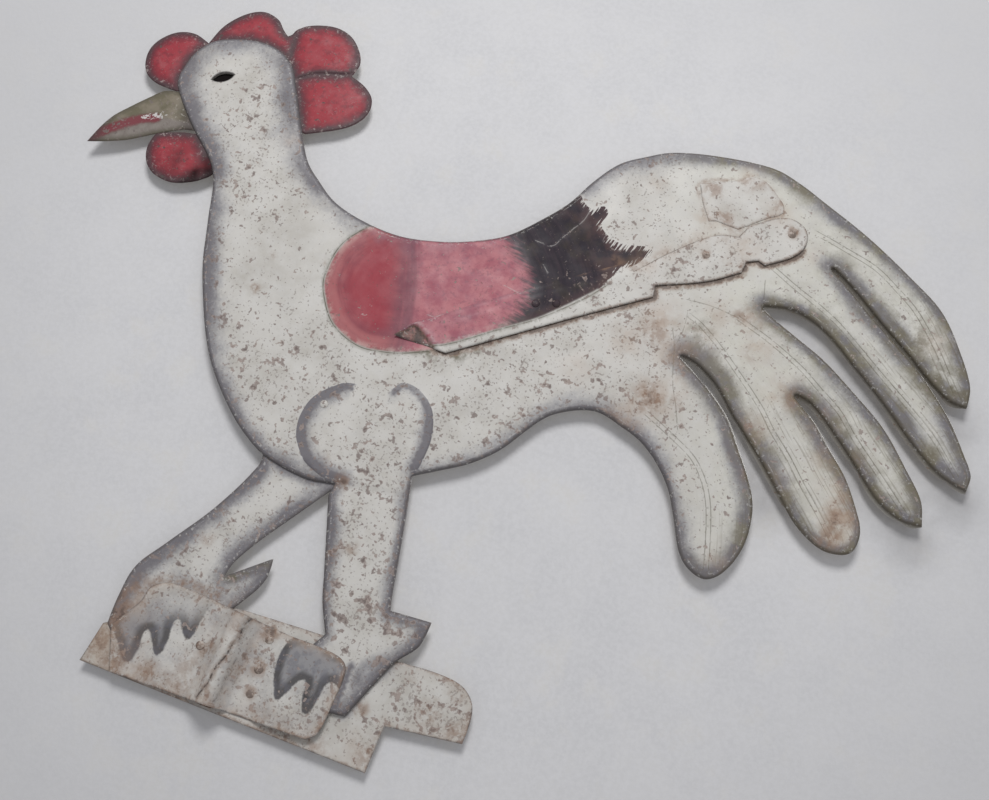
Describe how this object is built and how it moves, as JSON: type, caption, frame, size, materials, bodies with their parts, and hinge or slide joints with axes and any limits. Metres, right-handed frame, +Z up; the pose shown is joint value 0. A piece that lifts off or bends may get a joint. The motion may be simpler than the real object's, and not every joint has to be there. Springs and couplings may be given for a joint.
{
  "type": "weather vane",
  "caption": "Sheet-metal rooster weather vane, pressed and painted, with a riveted foot strap whose rib turns on a short vertical spindle.",
  "frame": {"origin": "on the spindle's axis, at the mouth of its blind bore, level with the bottom of the base", "axes": "+Z up along the spindle, +X from beak to tail, +Y from the painted front to the back"},
  "size_m": [0.681, 0.0154, 0.503],
  "materials": {
    "cream_paint": "old cream paint, airbrushed grey along the edges, speckled with rust",
    "red_paint": "faded red paint with dark edges and chips",
    "olive_paint": "olive-brown paint with a red mouth line",
    "worn_paint": "cream paint worn through to rust",
    "rusty_steel": "brown rust",
    "ball_steel": "greased steel"
  },
  "bodies": {
    "fixed_spindle": {"spindle": "rusty_steel", "bearing_ball": "ball_steel"},
    "vane": {"body_sheet": "cream_paint", "far_leg": "cream_paint", "comb": "red_paint", "beak": "olive_paint", "wattle": "red_paint", "base_plate": "worn_paint", "front_strap": "worn_paint", "stiffener_strip": "cream_paint", "tail_patch": "cream_paint", "strip_rivets": "worn_paint", "strap_rivets": "worn_paint", "hip_rivets": "worn_paint", "sleeve_tube": "rusty_steel", "sleeve_plug": "rusty_steel"}
  },
  "joints": [
    {"name": "vane_turn", "type": "hinge", "parent": "fixed_spindle", "child": "vane", "pos_m": [0, 0, 0], "axis": [0, 0, 1], "continuous": true}
  ]
}
